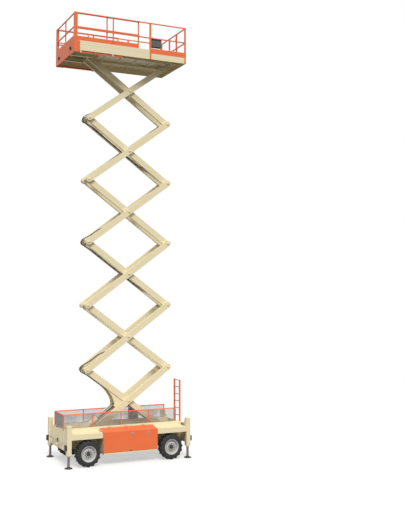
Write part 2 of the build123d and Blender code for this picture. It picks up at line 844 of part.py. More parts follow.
# Lift rod: slides in the barrel, with its eye between the stub pins of the first arms
with BuildPart() as lift_rod:
    with BuildSketch(cylinder_plane(cylinder_length - rod_tail)) as rod_face:
        Circle(rod_radius)
    extrude(rod_face.sketch, amount=rod_tail - eye_radius / 2)
    shaft(head_x, head_z, eye_radius, (-eye_width / 2, eye_width / 2))
    shaft(head_x, head_z, eye_bore, (-eye_width / 2, eye_width / 2), Mode.SUBTRACT)
lift_rod.part.label = "lift_rod"
export_step(lift_rod.part, "parts/lift_rod.step")


# Scissor arms. The outer arms rise towards the ladder end and turn on the pins of the
# inner ones, which rise towards the front.
def arm_plane(x, z, angle, y):
    """A plane whose X runs up one arm from its lower pivot, and whose normal is minus Y."""
    return Plane(origin=(x, y, z), x_dir=(cos(angle), 0, sin(angle)), z_dir=(0, -1, 0))


for stage in range(1, stages + 1):
    low_z = pivot_z + (stage - 1) * rise
    with BuildPart() as outer_arms:
        for side in (-1, 1):
            strip = lane(side, outer_lane, outer_lane + arm_thickness)
            with BuildSketch(arm_plane(slider_x, low_z, tilt, strip[1])) as arm_face:
                with Locations((arm_length / 2, 0)):
                    SlotCenterToCenter(arm_length, arm_depth)
                bores = [(arm_length / 2, 0), (arm_length, 0)]
                if stage > 1:
                    bores.append((0, 0))
                with Locations(*bores):
                    Circle(pin_radius + pin_play, mode=Mode.SUBTRACT)
            extrude(arm_face.sketch, amount=arm_thickness)
            if stage == 1:
                roller = lane(side, roller_inner, roller_inner + roller_width)
                shaft(slider_x, low_z, stub_radius,
                      lane(side, outer_lane + arm_thickness, roller_inner))
                shaft(slider_x, low_z, roller_radius, roller)
    outer_arms.part.label = f"outer_arms_{stage}"
    export_step(outer_arms.part, f"parts/outer_arms_{stage}.step")

    with BuildPart() as inner_arms:
        upwards = radians(180) - tilt
        for side in (-1, 1):
            strip = lane(side, inner_lane, inner_lane + arm_thickness)
            with BuildSketch(arm_plane(fixed_pivot_x, low_z, upwards, strip[1])) as frame_face:
                with Locations((arm_length / 2, 0)):
                    SlotCenterToCenter(arm_length, arm_depth)
                with Locations((0, 0), (arm_length / 2, 0), (arm_length, 0)):
                    Circle(pin_radius + pin_play, mode=Mode.SUBTRACT)
            extrude(frame_face.sketch, amount=arm_thickness)
            if stage == 1:
                ear = lane(side, inner_lane + gusset_from_side,
                           inner_lane + gusset_from_side + gusset_thickness)
                with BuildSketch(arm_plane(fixed_pivot_x, low_z, upwards, ear[1])) as ear_face:
                    with BuildLine():
                        edge = arm_depth / 2 - gusset_lap
                        tip = (head_station + gusset_reach, edge)
                        foot = (head_station + eye_radius, head_drop)
                        Bezier(tip, (head_station + gusset_bend, edge), foot)
                        Polyline(foot, (head_station - eye_radius, head_drop),
                                 (head_station - gusset_back, edge), tip)
                    make_face()
                    with Locations((head_station, head_drop)):
                        Circle(eye_radius)
                extrude(ear_face.sketch, amount=gusset_thickness)
                stub_start = eye_width / 2 + eye_gap
                shaft(head_x, head_z, foot_pin_radius,
                      lane(side, stub_start, inner_lane + gusset_from_side))
        ends = ((0, pin_end), (arm_length / 2, pin_end), (arm_length, pin_end))
        if stage == 1:
            ends = ((0, lug_inner + lug_thickness + pin_past_lug), ends[1], ends[2])
        if stage == stages:
            ends = (ends[0], ends[1], (arm_length, roller_inner))
        for distance, outer_end in ends:
            x = fixed_pivot_x - distance * cos(tilt)
            z = low_z + distance * sin(tilt)
            tube_end = inner_lane - pin_play
            shaft(x, z, cross_tube_radius, (-tube_end, tube_end))
            shaft(x, z, pin_radius, (-outer_end, outer_end))
        if stage == stages:
            for side in (-1, 1):
                shaft(slider_x, low_z + rise, roller_radius,
                      lane(side, roller_inner, roller_inner + roller_width))
    inner_arms.part.label = f"inner_arms_{stage}"
    export_step(inner_arms.part, f"parts/inner_arms_{stage}.step")

# Platform deck: a floor on joists with a deep fascia, roller channels and pivot lugs, side
# boards along the extension, and guides under the fascia for its runners
platform_half = platform_length / 2
platform_side = platform_width / 2
floor_under = floor_top - floor_plate
fascia_bottom = floor_top - fascia_depth
rail_face = platform_side - rail_inset
rear_face = platform_half - rail_inset
section_x = -platform_half + (rear_face + platform_half - rail_tube) * 2 / main_rail_bays
runner_outer = platform_side - runner_inset
runner_inner = runner_outer - runner_width
runner_high = fascia_bottom - extension_gap
runner_low = runner_high - runner_depth
guide_low = runner_low - extension_gap - guide_plate
with BuildPart() as platform_deck:
    block((-platform_half, platform_half), (-platform_side, platform_side), (floor_under, floor_top))
    for end in (-1, 1):
        block(sorted((end * platform_half, end * (platform_half - fascia_plate))),
              (-platform_side, platform_side), (fascia_bottom, floor_under))
    inner_end = platform_half - fascia_plate
    for side in (-1, 1):
        block((-inner_end, inner_end), lane(side, platform_side - fascia_plate, platform_side),
              (fascia_bottom, floor_under))
        block((-inner_end, inner_end), lane(side, cradle_inner, cradle_inner + stringer_width),
              (floor_under - stringer_depth, floor_under))
        block((track_front, track_rear), lane(side, cradle_inner, cradle_outer),
              (top_z - channel_half - flange_thickness, floor_under - stringer_depth))
        for level in (-1, 1):
            flange = sorted((top_z + level * channel_half,
                             top_z + level * (channel_half + flange_thickness)))
            block((track_front, track_rear), lane(side, flange_inner, cradle_inner), flange)
        lug = lane(side, top_lug_inner, top_lug_inner + lug_thickness)
        block((fixed_pivot_x - lug_radius, fixed_pivot_x + lug_radius), lug, (top_z, floor_under))
        shaft(fixed_pivot_x, top_z, lug_radius, lug)
        shaft(fixed_pivot_x, top_z, pin_radius, lane(side, outer_lane, top_lug_inner))
        block((-platform_half, section_x), lane(side, rail_face, rail_face + toe_plate),
              (floor_top, floor_top + guide_board))
        for place in guide_places:
            strap = (place - guide_width / 2, place + guide_width / 2)
            block(strap, lane(side, platform_side - fascia_plate, platform_side),
                  (guide_low, fascia_bottom))
            block(strap, lane(side, runner_inner, platform_side),
                  (guide_low, guide_low + guide_plate))
    for i in range(joists):
        middle = -inner_end + 2 * inner_end * (i + 0.5) / joists
        block((middle - joist_width / 2, middle + joist_width / 2),
              (fascia_plate - platform_side, platform_side - fascia_plate),
              (floor_under - joist_depth, floor_under))
platform_deck.part.label = "platform_deck"
export_step(platform_deck.part, "parts/platform_deck.step")


def rail_panel_along(x, y, bays, posts_down, middle):
    """A guard rail panel of square tube along the machine, with its middle rail's height."""
    top = floor_top + rail_height
    for i in range(bays + 1):
        place = x[0] + (x[1] - x[0] - rail_tube) * i / bays
        block((place, place + rail_tube), y, (posts_down, top - rail_tube))
    block(x, y, (top - rail_tube, top))
    block(x, y, (middle - rail_tube, middle))


def rail_panel_across(y, x, bays, posts_down, middle):
    """The same panel across the machine."""
    top = floor_top + rail_height
    for i in range(bays + 1):
        place = y[0] + (y[1] - y[0] - rail_tube) * i / bays
        block(x, (place, place + rail_tube), (posts_down, top - rail_tube))
    block(x, y, (top - rail_tube, top))
    block(x, y, (middle - rail_tube, middle))


# Platform guard rails, fixed to the main deck on three sides, with long corner plates that
# reach down over the fascia, and the gate's hinge pins
toe_top = floor_top + toe_height
rail_high = floor_top + rail_height
middle_high = floor_top + mid_rail_height
plate_outer = platform_side + corner_plate
plate_places = (section_x, rear_face - corner_plate_width)
gate_hinge_x = rear_face - rail_tube - gate_hinge_out
gate_hinge_y = -gate_half_width - gate_gap - gate_hinge_side
with BuildPart() as platform_rails:
    for side in (-1, 1):
        strip = lane(side, rail_face - rail_tube, rail_face)
        rail_panel_along((-platform_half, rear_face), strip, main_rail_bays, floor_top, middle_high)
        rear = lane(side, gate_half_width + gate_gap, rail_face - rail_tube)
        rail_panel_across(rear, (rear_face - rail_tube, rear_face), 1, floor_top, middle_high)
        for place in plate_places:
            along([(side * platform_side, fascia_bottom), (side * plate_outer, fascia_bottom),
                   (side * plate_outer, rail_high), (side * rail_face, rail_high),
                   (side * rail_face, floor_top), (side * platform_side, floor_top)],
                  (place, place + corner_plate_width))
    for height in gate_hinge_heights:
        low = floor_top + height
        block((gate_hinge_x - gate_tube_radius, rear_face - rail_tube),
              (gate_hinge_y - 2 * gate_tube_radius, gate_hinge_y + gate_pin_radius),
              (low - gate_lug_height, low))
        post(gate_hinge_x, gate_hinge_y, gate_pin_radius, (low, low + gate_hinge_length))
platform_rails.part.label = "platform_rails"
export_step(platform_rails.part, "parts/platform_rails.step")

# Toe boards on the outer faces of the rails, behind the extension
with BuildPart() as toe_boards:
    for side in (-1, 1):
        block((plate_places[0] + corner_plate_width, plate_places[1]),
              lane(side, rail_face, rail_face + toe_plate), (floor_top, toe_top))
        block((rear_face, rear_face + toe_plate), lane(side, gate_half_width + gate_gap, rail_face),
              (floor_top, toe_top))
toe_boards.part.label = "toe_boards"
export_step(toe_boards.part, "parts/toe_boards.step")

# Extension deck: a thinner floor on four tubes that slide on the main floor
extension_front = -platform_half - extension_gap
extension_rear = extension_front + extension_length
extension_low = floor_top + extension_lift
extension_high = extension_low + extension_plate
with BuildPart() as extension_deck:
    block((extension_front, extension_rear), (-extension_half_width, extension_half_width),
          (extension_low, extension_high))
    for side in (-1, 1):
        for outer in (extension_half_width - skid_inset, extension_half_width / 3):
            tube_along((extension_front, extension_rear), lane(side, outer - skid_width, outer),
                       (floor_top + skid_play, extension_low), skid_wall)
extension_deck.part.label = "extension_deck"
export_step(extension_deck.part, "parts/extension_deck.step")

# Extension guard rails with their side toe boards
extension_toe_top = extension_high + toe_height
extension_middle = middle_high + extension_mid_raise
with BuildPart() as extension_rails:
    for side in (-1, 1):
        strip = lane(side, extension_half_width - rail_tube, extension_half_width)
        rail_panel_along((extension_front, extension_rear), strip, extension_bays, extension_high,
                         extension_middle)
        block((extension_front, extension_rear),
              lane(side, extension_half_width - toe_plate, extension_half_width),
              (extension_high, extension_toe_top))
    rail_panel_across((rail_tube - extension_half_width, extension_half_width - rail_tube),
                      (extension_front, extension_front + rail_tube), 2, extension_high,
                      extension_middle)
extension_rails.part.label = "extension_rails"
export_step(extension_rails.part, "parts/extension_rails.step")

# Extension frame: an end panel over the front fascia, corner plates up to the top rail, and
# the runners under the main deck that carry the extension when it is out
panel_face = extension_front - end_panel_plate
leg_inner = platform_side + extension_gap
leg_outer = leg_inner + end_panel_plate
with BuildPart() as extension_frame:
    block((panel_face, extension_front), (-leg_outer, leg_outer), (runner_low, extension_toe_top))
    for side in (-1, 1):
        across([(panel_face, runner_low), (panel_face + corner_foot, runner_low),
                (panel_face + corner_foot, extension_high),
                (panel_face + corner_leg, extension_high), (panel_face + corner_leg, rail_high),
                (panel_face, rail_high)], lane(side, leg_inner, leg_outer))
        block((panel_face, extension_front), lane(side, leg_outer - corner_leg, leg_outer),
              (extension_toe_top, rail_high))
        tube_along((extension_front, extension_front + runner_length),
                   lane(side, runner_inner, runner_outer), (runner_low, runner_high), runner_wall)
extension_frame.part.label = "extension_frame"
export_step(extension_frame.part, "parts/extension_frame.step")

# Two rubber bumpers on the end panel
with BuildPart() as extension_bumpers:
    with BuildSketch(Plane.YZ.offset(panel_face - bumper_length)) as bumper_faces:
        with Locations((-bumper_y, floor_top - bumper_drop), (bumper_y, floor_top - bumper_drop)):
            Circle(bumper_radius)
    extrude(bumper_faces.sketch, amount=bumper_length)
extension_bumpers.part.label = "extension_bumpers"
export_step(extension_bumpers.part, "parts/extension_bumpers.step")

# Entry gate at the ladder end: it swings inwards on pins beside the left-hand post
with BuildPart() as entry_gate:
    gate = (-gate_half_width, gate_half_width)
    gate_face = (rear_face - rail_tube, rear_face)
    low = floor_top + gate_low
    block(gate_face, gate, (rail_high - rail_tube, rail_high))
    block(gate_face, gate, (middle_high - rail_tube, middle_high))
    block(gate_face, gate, (low, low + toe_height))
    for y in (gate[0], gate[1] - rail_tube):
        block(gate_face, (y, y + rail_tube), (low, rail_high))
    for height in gate_hinge_heights:
        tube = (floor_top + height + pin_play, floor_top + height + gate_hinge_length - gate_hinge_end)
        post(gate_hinge_x, gate_hinge_y, gate_tube_radius, tube)
        leaf = gate_hinge_x - gate_leaf / 2
        block((leaf, gate_hinge_x + gate_leaf), (gate_hinge_y, rail_tube - gate_half_width), tube)
        block((leaf, gate_face[0]), (pin_play - gate_half_width, rail_tube - gate_half_width), tube)
        post(gate_hinge_x, gate_hinge_y, gate_pin_radius + gate_hinge_play, tube, Mode.SUBTRACT)
entry_gate.part.label = "entry_gate"
export_step(entry_gate.part, "parts/entry_gate.step")

# Platform control console, hung inside the left-hand rail behind the extension
with BuildPart() as control_console:
    console_back = rail_face - rail_tube
    console_x = section_x + corner_plate_width + console_gap
    console_top = middle_high - console_hang
    console_low = console_top - console_height
    console = [(-console_back, console_low), (-console_back, console_top),
               (console_depth - console_back, console_top - console_slope),
               (console_depth - console_back, console_low)]
    along(console, (console_x, console_x + console_width))
control_console.part.label = "control_console"
export_step(control_console.part, "parts/control_console.step")
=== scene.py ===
import json

import bmesh
import bpy
import numpy as np
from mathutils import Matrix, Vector


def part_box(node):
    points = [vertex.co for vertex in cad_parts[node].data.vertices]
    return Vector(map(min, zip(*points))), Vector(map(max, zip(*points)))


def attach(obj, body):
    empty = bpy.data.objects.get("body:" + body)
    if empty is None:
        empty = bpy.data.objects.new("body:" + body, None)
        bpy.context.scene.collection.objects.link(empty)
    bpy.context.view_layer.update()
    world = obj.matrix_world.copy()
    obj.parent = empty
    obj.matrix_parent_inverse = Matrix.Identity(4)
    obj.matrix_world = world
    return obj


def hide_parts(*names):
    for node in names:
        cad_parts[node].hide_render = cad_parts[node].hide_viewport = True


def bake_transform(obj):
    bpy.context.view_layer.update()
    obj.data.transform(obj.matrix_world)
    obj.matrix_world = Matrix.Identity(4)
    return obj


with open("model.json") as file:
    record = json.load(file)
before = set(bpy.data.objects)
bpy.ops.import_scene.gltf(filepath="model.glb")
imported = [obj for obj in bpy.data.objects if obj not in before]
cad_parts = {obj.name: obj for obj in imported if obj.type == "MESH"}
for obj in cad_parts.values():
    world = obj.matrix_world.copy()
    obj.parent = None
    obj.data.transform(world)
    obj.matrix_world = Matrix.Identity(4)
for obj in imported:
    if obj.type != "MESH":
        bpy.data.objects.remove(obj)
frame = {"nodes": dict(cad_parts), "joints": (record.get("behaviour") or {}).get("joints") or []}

nodes = frame["nodes"]
joints = {joint["name"]: joint for joint in frame["joints"]}
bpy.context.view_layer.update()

# The camera: a long lens from the front left, some way above the ground. The lens is
# shifted down the picture, so that the tall mast keeps its upright lines.
camera_place = (-10.07, -25.82, 5.60)
camera_turn = np.radians(24.37)
camera_lift = np.radians(6.11)
focal_pixels = 794.0
picture_height = 508.0
sensor_height = 36.0
lens_shift = (0.079, -0.0945)
camera_data = bpy.data.cameras.new("camera")
camera_data.lens = focal_pixels / picture_height * sensor_height
camera_data.sensor_width = sensor_height
camera_data.shift_x, camera_data.shift_y = lens_shift
camera_data.clip_end = 300.0
camera = bpy.data.objects.new("camera", camera_data)
bpy.context.scene.collection.objects.link(camera)
camera.location = camera_place
camera.rotation_euler = (np.pi / 2 + camera_lift, 0.0, -camera_turn)
bpy.context.scene.camera = camera


# The studio: a pale floor that fades into a white surround, one broad sun from the
# front left, and soft light from all round that is weaker from below.
def add_node(tree, kind, inputs=None, **settings):
    """Adds a shader node, applies its settings, and sets or links its named inputs."""
    node = tree.nodes.new(kind)
    for name, value in settings.items():
        setattr(node, name, value)
    for name, value in (inputs or {}).items():
        if isinstance(value, bpy.types.NodeSocket):
            tree.links.new(value, node.inputs[name])
        else:
            node.inputs[name].default_value = value
    return node


def maths(tree, operation, *values):
    """One sum on numbers or sockets, given as its result's socket."""
    return add_node(tree, "ShaderNodeMath", dict(enumerate(values)), operation=operation).outputs[0]


def mix(tree, factor, first, second):
    """A number or socket that goes from the first to the second as the factor rises."""
    return add_node(tree, "ShaderNodeMix", {"Factor": factor, "A": first, "B": second}).outputs[0]


def spread(tree, value, low, high, start=0.0, end=1.0, **settings):
    """Maps a socket's span from start to end onto the span from low to high, and holds it there."""
    inputs = {"Value": value, "From Min": start, "From Max": end, "To Min": low, "To Max": high}
    return add_node(tree, "ShaderNodeMapRange", inputs, **settings).outputs[0]


def noise(tree, place, scale, detail=2.0, roughness=0.5):
    """Cloudy noise of so many cells to the metre."""
    inputs = {"Vector": place, "Scale": scale, "Detail": detail, "Roughness": roughness}
    return add_node(tree, "ShaderNodeTexNoise", inputs).outputs[0]


def ray_share(tree, *kinds):
    """One for rays of the given kinds, nought for all others."""
    ray = add_node(tree, "ShaderNodeLightPath")
    share = ray.outputs[f"Is {kinds[0]} Ray"]
    for kind in kinds[1:]:
        share = maths(tree, "MAXIMUM", share, ray.outputs[f"Is {kind} Ray"])
    return share


def new_material(name):
    """An empty material, its node tree and the point in the piece's own coordinates."""
    material = bpy.data.materials.new(name)
    material.use_nodes = True
    tree = material.node_tree
    tree.nodes.clear()
    return material, tree, add_node(tree, "ShaderNodeTexCoord").outputs["Object"]


floor_half = 30.0
floor_fade = (7.0, 20.0)
floor_tone = (0.90, 0.94)
floor_grain = 3.0
floor_bounce = 0.22
floor_glow = 0.5
sun_strength = 2.4
sun_width = np.radians(25)
sun_heading = (0.22, 0.78, -0.95)
sky_strength = 0.72
ground_strength = 0.10
horizon = (-0.15, 0.25)
white = (1.0, 1.0, 1.0, 1.0)
scene = bpy.context.scene
scene.view_settings.view_transform = "Standard"
world = bpy.data.worlds.new("studio")
world.use_nodes = True
scene.world = world
sky = world.node_tree
sky.nodes.clear()
heading = add_node(sky, "ShaderNodeTexCoord").outputs["Generated"]
steepness = add_node(sky, "ShaderNodeSeparateXYZ", {0: heading}).outputs["Z"]
sky_glow = spread(sky, steepness, ground_strength, sky_strength, *horizon)
sky_level = mix(sky, ray_share(sky, "Camera", "Glossy", "Transmission"), sky_glow, 1.0)
sky_light = add_node(sky, "ShaderNodeBackground", {"Color": white, "Strength": sky_level})
add_node(sky, "ShaderNodeOutputWorld", {"Surface": sky_light.outputs[0]})

floor_mesh = bpy.data.meshes.new("studio_floor")
floor_corners = floor_half * np.array([(-1, -1, 0), (1, -1, 0), (1, 1, 0), (-1, 1, 0)])
floor_mesh.from_pydata(floor_corners.tolist(), [], [(0, 1, 2, 3)])
studio_floor = bpy.data.objects.new("studio_floor", floor_mesh)
scene.collection.objects.link(studio_floor)
floor_material, tree, place = new_material("studio_floor")
distance = add_node(tree, "ShaderNodeVectorMath", {0: place}, operation="LENGTH").outputs["Value"]
fade = spread(tree, distance, 0.0, 1.0, *floor_fade, interpolation_type="SMOOTHSTEP")
floor_seen = ray_share(tree, "Camera", "Glossy")
bounce = spread(tree, floor_seen, floor_bounce, 1.0)
tone = maths(tree, "MULTIPLY", spread(tree, noise(tree, place, floor_grain), *floor_tone), bounce)
pale = add_node(tree, "ShaderNodeBsdfDiffuse", {"Color": tone}).outputs[0]
glow = add_node(tree, "ShaderNodeEmission", {"Color": white, "Strength": 1.0}).outputs[0]
glow_share = maths(tree, "MULTIPLY", floor_seen, floor_glow)
lit = add_node(tree, "ShaderNodeMixShader", {0: glow_share, 1: pale, 2: glow}).outputs[0]
clear = add_node(tree, "ShaderNodeBsdfTransparent").outputs[0]
faded = add_node(tree, "ShaderNodeMixShader", {0: fade, 1: lit, 2: clear}).outputs[0]
add_node(tree, "ShaderNodeOutputMaterial", {"Surface": faded})
floor_mesh.materials.append(floor_material)

# Sampled as lamps, the even surround and the floor's glow would only speckle the arms.
world.cycles.sampling_method = "NONE"
floor_material.cycles.emission_sampling = "NONE"

sun_data = bpy.data.lights.new("sun", "SUN")
sun_data.energy = sun_strength
sun_data.angle = sun_width
sun = bpy.data.objects.new("sun", sun_data)
scene.collection.objects.link(sun)
sun.rotation_euler = Vector(sun_heading).to_track_quat("-Z", "Y").to_euler()


# Painted steel: the cream frame, decks and arms and the orange doors and rails are
# welded steel with one thick coat of glossy machine paint, a little dusty low down.
def paint(red, green, blue):
    """A colour given as seen on screen, as the linear values that a shader takes."""
    value = np.array([red, green, blue]) / 255.0
    linear = np.where(value <= 0.04045, value / 12.92, ((value + 0.055) / 1.055) ** 2.4)
    return (*linear.tolist(), 1.0)


def blend_colour(tree, factor, first, second):
    """Mixes two colours or colour sockets by a factor socket and gives the result's socket."""
    node = add_node(tree, "ShaderNodeMix", data_type="RGBA")
    sockets = (node.inputs["Factor"], node.inputs[6], node.inputs[7])
    for socket, value in zip(sockets, (factor, first, second)):
        if isinstance(value, bpy.types.NodeSocket):
            tree.links.new(value, socket)
        else:
            socket.default_value = value
    return node.outputs[2]


def height_of(tree, place):
    """How high a point lies."""
    return add_node(tree, "ShaderNodeSeparateXYZ", {0: place}).outputs["Z"]


def relief(tree, height, strength, distance):
    """A surface bumped by a height socket."""
    inputs = {"Height": height, "Strength": strength, "Distance": distance}
    return add_node(tree, "ShaderNodeBump", inputs).outputs[0]


def finished(material, inputs):
    """Ends a material in one physical shader with these inputs."""
    shader = add_node(material.node_tree, "ShaderNodeBsdfPrincipled", inputs)
    add_node(material.node_tree, "ShaderNodeOutputMaterial", {"Surface": shader.outputs[0]})
    return material


dust_colour = paint(150, 138, 116)
dust_span = (0.1, 0.85)
dust_least = 0.03
dust_patches = (0.42, 0.7)
drift_grain = 1.7
speck_grain = 9.0
peel_grain = 260.0
peel_depth = 0.0006
gloss_swing = (-0.08, 0.14)


def coated_steel(name, colour, shade, gloss=0.46, ripple=0.12, dust=0.25):
    """Machine paint: broad drifts between two close tints, orange-peel ripple in the coat,
    and dust that thickens towards the ground."""
    material, tree, place = new_material(name)
    tint = blend_colour(tree, noise(tree, place, drift_grain, detail=5.0), colour, shade)
    speck = noise(tree, place, speck_grain, detail=8.0, roughness=0.7)
    low = spread(tree, height_of(tree, place), dust, dust_least, *dust_span)
    patch = spread(tree, speck, 0.0, 1.0, *dust_patches)
    tint = blend_colour(tree, maths(tree, "MULTIPLY", low, patch), tint, dust_colour)
    rough = spread(tree, speck, *(gloss + swing for swing in gloss_swing))
    peel = relief(tree, noise(tree, place, peel_grain), ripple, peel_depth)
    return finished(material, {"Base Color": tint, "Roughness": rough, "Normal": peel,
                               "Specular IOR Level": 0.35, "Coat Weight": 0.06, "Coat Roughness": 0.3})


def dress(material, *names):
    """Gives CAD nodes a material in all their slots."""
    for name in names:
        slots = nodes[name].data.materials
        slots.clear()
        slots.append(material)


cream = coated_steel("cream_paint", paint(237, 224, 186), paint(229, 215, 174))
orange = coated_steel("orange_paint", paint(243, 120, 68), paint(235, 108, 58))
stages = range(1, 7)
dress(cream, "chassis_frame", "scissor_cradle", "roller_tracks", "side_decks", "equipment_trays",
      "front_end_frame", "rear_end_frame", "lift_barrel",
      *[f"outer_arms_{stage}" for stage in stages], *[f"inner_arms_{stage}" for stage in stages])
dress(orange, "door_left", "door_right", "guard_frame", "ladder", "platform_rails", "toe_boards",
      "extension_rails", "extension_frame", "entry_gate")


# Axles, knuckles, engine, tank and jack valves: castings and welded plate under one coat of
# satin black paint, which takes more of the dust.
black_steel = coated_steel("black_steel", paint(44, 44, 46), paint(34, 34, 36), gloss=0.5, dust=0.5)
dress(black_steel, "front_axle", "rear_axle", "knuckle_left", "knuckle_right", "engine_block",
      "hydraulic_tank", "jack_valves")


# Hard-chromed rods of the lift cylinder and the jacks. The jacks' feet are bare, dull steel
# below the boss.
jack_foot_top = 0.058
mark_grain = 35.0
foot_and_rod_roughness = (0.6, 0.4)


def rod_metal(name, foot_top):
    """Plated steel with faint cloudy marks, going to dull dark steel below a height."""
    material, tree, place = new_material(name)
    above = maths(tree, "GREATER_THAN", height_of(tree, place), foot_top)
    marks = noise(tree, place, mark_grain, detail=6.0)
    dull = blend_colour(tree, marks, paint(96, 92, 88), paint(70, 66, 62))
    bright = blend_colour(tree, marks, paint(126, 124, 118), paint(110, 108, 103))
    return finished(material, {"Base Color": blend_colour(tree, above, dull, bright),
                               "Roughness": spread(tree, above, *foot_and_rod_roughness),
                               "Metallic": 0.6})


rods = rod_metal("plated_rod", jack_foot_top)
dress(rods, "lift_rod", "jack_front_left", "jack_front_right", "jack_rear_left", "jack_rear_right")


# Platform: the floors of the main deck and of the extension are galvanised tread plate,
# with short raised bars in two directions. The fascia round the main deck is cream.
plate_pitch = 0.040
plate_band = 0.002
plate_relief = 0.002
bar_squeeze = (1.35, 5.0)
bar_edge = (0.55, 0.9)
bar_wear = 0.4
zinc_drift = 2.2
zinc_metal = 0.6
fascia_tints = (paint(237, 224, 188), paint(229, 215, 174))
zinc_tints = (paint(150, 152, 152), paint(124, 126, 128))
worn_zinc = paint(188, 190, 190)


def plate_bars(tree, place, pitch):
    """Height of tread plate: on a checker of squares, bars that lean one way and then the
    other, each a squeezed round bump."""
    scaled = add_node(tree, "ShaderNodeVectorMath", {0: place, 1: (1 / pitch,) * 3},
                      operation="MULTIPLY").outputs[0]
    parts = add_node(tree, "ShaderNodeSeparateXYZ", {0: scaled})
    cells = [maths(tree, "FLOOR", parts.outputs[axis]) for axis in "XY"]
    odd = maths(tree, "FLOORED_MODULO", maths(tree, "ADD", *cells), 2.0)
    inside = [maths(tree, "SUBTRACT", maths(tree, "SUBTRACT", parts.outputs[axis], cell), 0.5)
              for axis, cell in zip("XY", cells)]
    turned = [maths(tree, "ADD", inside[0], maths(tree, "MULTIPLY", inside[1], sign))
              for sign in (1.0, -1.0)]
    lean = [mix(tree, odd, turned[first], turned[1 - first]) for first in (0, 1)]
    squares = [maths(tree, "POWER", maths(tree, "MULTIPLY", side, squeeze), 2.0)
               for side, squeeze in zip(lean, bar_squeeze)]
    return spread(tree, maths(tree, "ADD", *squares), 1.0, 0.0, *bar_edge)


def floor_plate(name, floor_height, side_colour, side_shade):
    """Galvanised tread plate on what lies at floor height, and paint on the rest."""
    material, tree, place = new_material(name)
    away = maths(tree, "ABSOLUTE", maths(tree, "SUBTRACT", height_of(tree, place), floor_height))
    on_top = maths(tree, "LESS_THAN", away, plate_band)
    drift = noise(tree, place, zinc_drift, detail=6.0)
    bars = plate_bars(tree, place, plate_pitch)
    zinc = blend_colour(tree, drift, *zinc_tints)
    zinc = blend_colour(tree, maths(tree, "MULTIPLY", bars, bar_wear), zinc, worn_zinc)
    tint = blend_colour(tree, on_top, blend_colour(tree, drift, side_colour, side_shade), zinc)
    lift = maths(tree, "MULTIPLY", bars, on_top)
    return finished(material, {"Base Color": tint, "Roughness": 0.42,
                               "Metallic": maths(tree, "MULTIPLY", on_top, zinc_metal),
                               "Normal": relief(tree, lift, 0.8, plate_relief)})


floor_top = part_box("toe_boards")[0].z
extension_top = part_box("extension_deck")[1].z
dress(floor_plate("main_floor", floor_top, *fascia_tints), "platform_deck")
dress(floor_plate("extension_floor", extension_top, *zinc_tints), "extension_deck")


# Tyres: moulded rubber with rounded sidewalls and two staggered rows of slanted lugs that
# run over the shoulders.
crease_angle = np.radians(32)
merge_distance = 1e-6


def grid_piece(name, grids, body, material):
    """Joins grids of points into one mesh that rides on a body, if one is named. Each grid
    has rows and columns of points and says whether its rows and its columns close on
    themselves. Each cell becomes a quad, equal points are merged, faces are turned
    outwards, and edges sharper than the crease angle stay crisp."""
    points, quads, start = [], [], 0
    for grid, closed_rows, closed_columns in grids:
        rows, columns = grid.shape[:2]
        index = np.arange(rows * columns).reshape(rows, columns) + start
        start += rows * columns
        if closed_rows:
            index = np.concatenate([index, index[:1]], 0)
        if closed_columns:
            index = np.concatenate([index, index[:, :1]], 1)
        cells = [index[:-1, :-1], index[1:, :-1], index[1:, 1:], index[:-1, 1:]]
        quads.append(np.stack(cells, -1).reshape(-1, 4))
        points.append(grid.reshape(-1, 3))
    mesh = bpy.data.meshes.new(name)
    mesh.from_pydata(np.concatenate(points).tolist(), [], np.concatenate(quads).tolist())
    shape = bmesh.new()
    shape.from_mesh(mesh)
    bmesh.ops.remove_doubles(shape, verts=shape.verts, dist=merge_distance)
    bmesh.ops.recalc_face_normals(shape, faces=shape.faces)
    shape.to_mesh(mesh)
    shape.free()
    mesh.shade_smooth()
    mesh.set_sharp_from_angle(angle=crease_angle)
    mesh.materials.append(material)
    piece = bpy.data.objects.new(name, mesh)
    scene.collection.objects.link(piece)
    if body:
        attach(piece, body)
    return piece


def rubber_material(name, colour, shade, grain):
    """Matt rubber or plastic: two close tints in drifts and a fine grain in relief."""
    material, tree, place = new_material(name)
    drift = noise(tree, place, 6.0, detail=6.0)
    return finished(material, {"Base Color": blend_colour(tree, drift, colour, shade),
                               "Roughness": spread(tree, drift, 0.62, 0.82),
                               "Normal": relief(tree, noise(tree, place, grain, detail=3.0), 0.3, 0.001)})


rubber = rubber_material("tyre_rubber", paint(27, 27, 28), paint(37, 36, 35), 180.0)
tread_count = 16
tread_slant = np.radians(25)
tread_radius = 0.408
tread_middle = 0.075
lug_top = 0.125
lug_foot = 0.165
pitch_places = np.array([0, 0.06, lug_top, lug_foot, 0.25, 0.5 - lug_foot, 0.5 - lug_top, 0.44,
                         0.5, 0.56, 0.5 + lug_top, 0.5 + lug_foot, 0.75, 1 - lug_foot, 1 - lug_top, 0.94])
carcass_half = np.array([(0.0, 0.396), (0.010, 0.396), (0.014, 0.396), (0.050, 0.3955), (0.085, 0.394),
                         (0.112, 0.389), (0.124, 0.382), (0.136, 0.371), (0.144, 0.357), (0.149, 0.345),
                         (0.1515, 0.334), (0.1530, 0.331), (0.1540, 0.325), (0.1550, 0.304), (0.1545, 0.290),
                         (0.151, 0.277), (0.144, 0.266), (0.137, 0.259), (0.133, 0.252), (0.131, 0.240),
                         (0.100, 0.236)])
lug_half = np.array([(0.0, 0.396), (0.011, 0.396), (0.0135, 0.418), (0.050, 0.420), (0.085, 0.420),
                     (0.114, 0.419), (0.127, 0.408), (0.1385, 0.388), (0.147, 0.366), (0.151, 0.347)])
wheel_names = ("front_left", "front_right", "rear_left", "rear_right")
wheels = {name: np.array(joints[f"spin_{name}"]["pos_m"]) for name in wheel_names}


